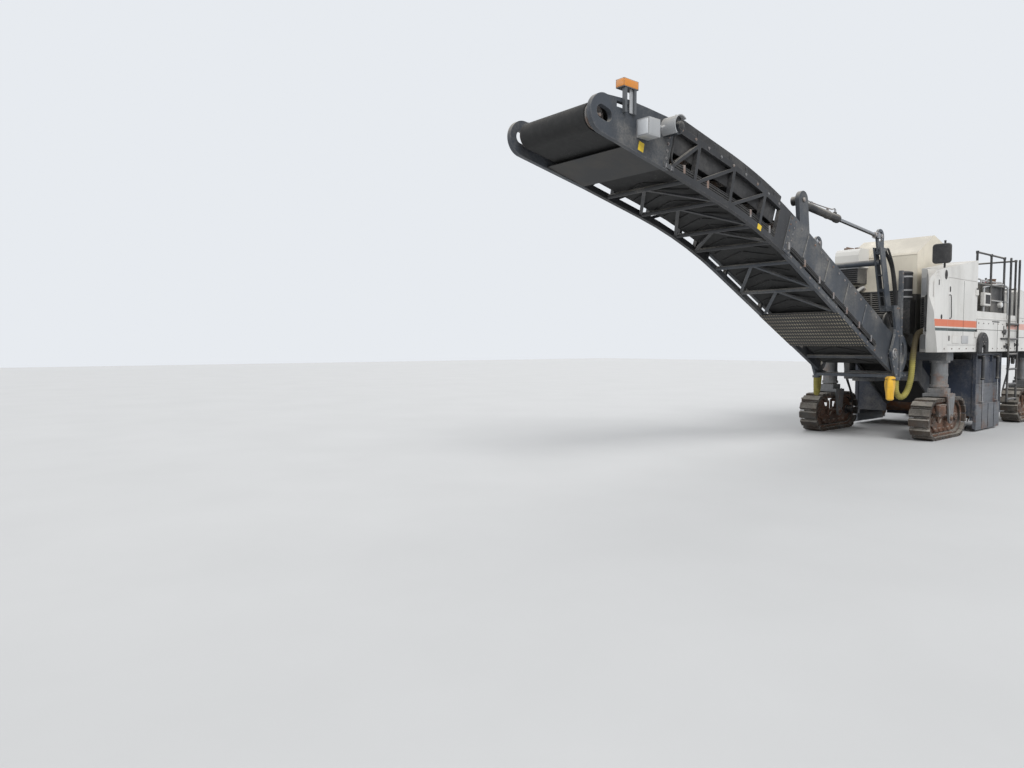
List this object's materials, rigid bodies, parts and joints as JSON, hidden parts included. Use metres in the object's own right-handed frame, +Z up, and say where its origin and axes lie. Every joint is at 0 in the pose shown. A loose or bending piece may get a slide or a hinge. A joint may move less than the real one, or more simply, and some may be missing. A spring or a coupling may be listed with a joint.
{
  "type": "cold planer milling machine",
  "caption": "Front-loading cold planer on crawler tracks with a milling drum amidships and a slewing discharge conveyor.",
  "frame": {"origin": "on the ground under the middle of the machine's overall box", "axes": "+X the direction of travel, towards the discharge conveyor's head; +Y the machine's left side; +Z up"},
  "size_m": [14.5385, 2.5298, 4.4544],
  "materials": {
    "frame_paint": "satin, dusty",
    "conveyor_paint": "satin, dusty",
    "body_paint": "satin, dusty",
    "hood_paint": "satin, sun-bleached",
    "navy_paint": "satin, worn",
    "dark_metal": "matt",
    "column_steel": "oiled, dusty",
    "chrome_rod": "polished",
    "worn_steel": "scraped",
    "rust_steel": "rusty, dusty",
    "shoe_steel": "rusty, dusty",
    "belt_rubber": "matt, dusty",
    "hose_wrap": "spiral wrap, dusty",
    "mirror_black": "matt",
    "lamp_grey": "satin",
    "engine_grey": "painted, oily"
  },
  "bodies": {
    "machine": {"main_frame": "frame_paint", "column_sleeves": "column_steel", "slew_bracket": "frame_paint", "drum_housing": "navy_paint", "primary_conveyor": "conveyor_paint", "primary_belt": "belt_rubber", "nose_left": "body_paint", "nose_right": "body_paint", "centre_hood": "hood_paint", "engine": "engine_grey", "rear_body": "body_paint", "platform": "body_paint", "handrails": "dark_metal", "ladders": "dark_metal", "consoles": "dark_metal", "hose_left": "hose_wrap", "hose_right": "hose_wrap", "air_stack": "dark_metal", "mirrors": "mirror_black"},
    "hood_rear": {"engine_hood": "body_paint"},
    "door_left": {"door_left": "body_paint"},
    "door_right": {"door_right": "body_paint"},
    "turret": {"turret": "conveyor_paint"},
    "conveyor": {"tail_section": "conveyor_paint", "boom_section": "conveyor_paint", "head_section": "conveyor_paint", "discharge_belt": "belt_rubber", "belt_rollers": "rust_steel", "belt_guards": "conveyor_paint", "head_lamps": "lamp_grey"},
    "lift_barrels": {"lift_barrels": "dark_metal"},
    "lift_rods": {"lift_rods": "chrome_rod"},
    "drum": {"milling_drum": "rust_steel"},
    "rear_gate": {"rear_gate": "navy_paint"},
    "edge_plate_left": {"edge_plate_left": "worn_steel"},
    "edge_plate_right": {"edge_plate_right": "worn_steel"},
    "crawler_front_left": {"leg_front_left": "column_steel", "crawler_front_left": "rust_steel", "track_front_left": "shoe_steel"},
    "crawler_front_right": {"leg_front_right": "column_steel", "crawler_front_right": "rust_steel", "track_front_right": "shoe_steel"},
    "crawler_rear_left": {"leg_rear_left": "column_steel", "crawler_rear_left": "rust_steel", "track_rear_left": "shoe_steel"},
    "crawler_rear_right": {"leg_rear_right": "column_steel", "crawler_rear_right": "rust_steel", "track_rear_right": "shoe_steel"}
  },
  "joints": [
    {"name": "conveyor_slew", "type": "hinge", "parent": "machine", "child": "turret", "pos_m": [-0.6371, 0, 1.1], "axis": [0, 0, 1], "range_deg": [-40, 40], "deforming": ["hose_left", "hose_right"]},
    {"name": "conveyor_lift", "type": "hinge", "parent": "turret", "child": "conveyor", "pos_m": [-0.0871, 0, 1.5], "axis": [0, -1, 0], "range_deg": [-14, 8]},
    {"name": "lift_barrel_tilt", "type": "hinge", "parent": "conveyor", "child": "lift_barrels", "pos_m": [2.9327, 0, 3.6803], "axis": [0, -1, 0], "range_deg": [-2, 2]},
    {"name": "lift_rod_stroke", "type": "slide", "parent": "lift_barrels", "child": "lift_rods", "axis": [0.9963, 0, 0.0864], "range_m": [-0.48, 0.28]},
    {"name": "drum_spin", "type": "hinge", "parent": "machine", "child": "drum", "pos_m": [-3.4571, 0, 0.63], "axis": [0, 1, 0], "continuous": true},
    {"name": "rear_gate_lift", "type": "hinge", "parent": "machine", "child": "rear_gate", "pos_m": [-4.2021, 0, 1.23], "axis": [0, 1, 0], "range_deg": [0, 50]},
    {"name": "edge_plate_left_lift", "type": "slide", "parent": "machine", "child": "edge_plate_left", "axis": [0, 0, 1], "range_m": [0, 0.4]},
    {"name": "edge_plate_right_lift", "type": "slide", "parent": "machine", "child": "edge_plate_right", "axis": [0, 0, 1], "range_m": [0, 0.4]},
    {"name": "hood_open", "type": "hinge", "parent": "machine", "child": "hood_rear", "pos_m": [-7.2534, 0, 2.179], "axis": [0, -1, 0], "range_deg": [0, 55]},
    {"name": "door_left_open", "type": "hinge", "parent": "machine", "child": "door_left", "pos_m": [-2.3971, 1.2163, 2.23], "axis": [0, 0, 1], "range_deg": [0, 100]},
    {"name": "door_right_open", "type": "hinge", "parent": "machine", "child": "door_right", "pos_m": [-2.3971, -1.2163, 2.23], "axis": [0, 0, -1], "range_deg": [0, 100]},
    {"name": "front_steer_left", "type": "hinge", "parent": "machine", "child": "crawler_front_left", "pos_m": [-1.3371, 0.985, 0.9], "axis": [0, 0, 1], "range_deg": [-20, 20]},
    {"name": "front_steer_right", "type": "hinge", "parent": "machine", "child": "crawler_front_right", "pos_m": [-1.3371, -0.985, 0.9], "axis": [0, 0, 1], "range_deg": [-20, 20]},
    {"name": "rear_steer_left", "type": "hinge", "parent": "machine", "child": "crawler_rear_left", "pos_m": [-6.0871, 0.985, 0.9], "axis": [0, 0, 1], "range_deg": [-20, 20]},
    {"name": "rear_steer_right", "type": "hinge", "parent": "machine", "child": "crawler_rear_right", "pos_m": [-6.0871, -0.985, 0.9], "axis": [0, 0, 1], "range_deg": [-20, 20]}
  ],
  "couplings": [
    {"joint": "lift_barrel_tilt", "follows": "conveyor_lift", "ratio": 0.1},
    {"joint": "lift_rod_stroke", "follows": "conveyor_lift", "m_per_rad": 1.93},
    {"joint": "front_steer_right", "follows": "front_steer_left", "ratio": 1},
    {"joint": "rear_steer_right", "follows": "rear_steer_left", "ratio": 1}
  ]
}
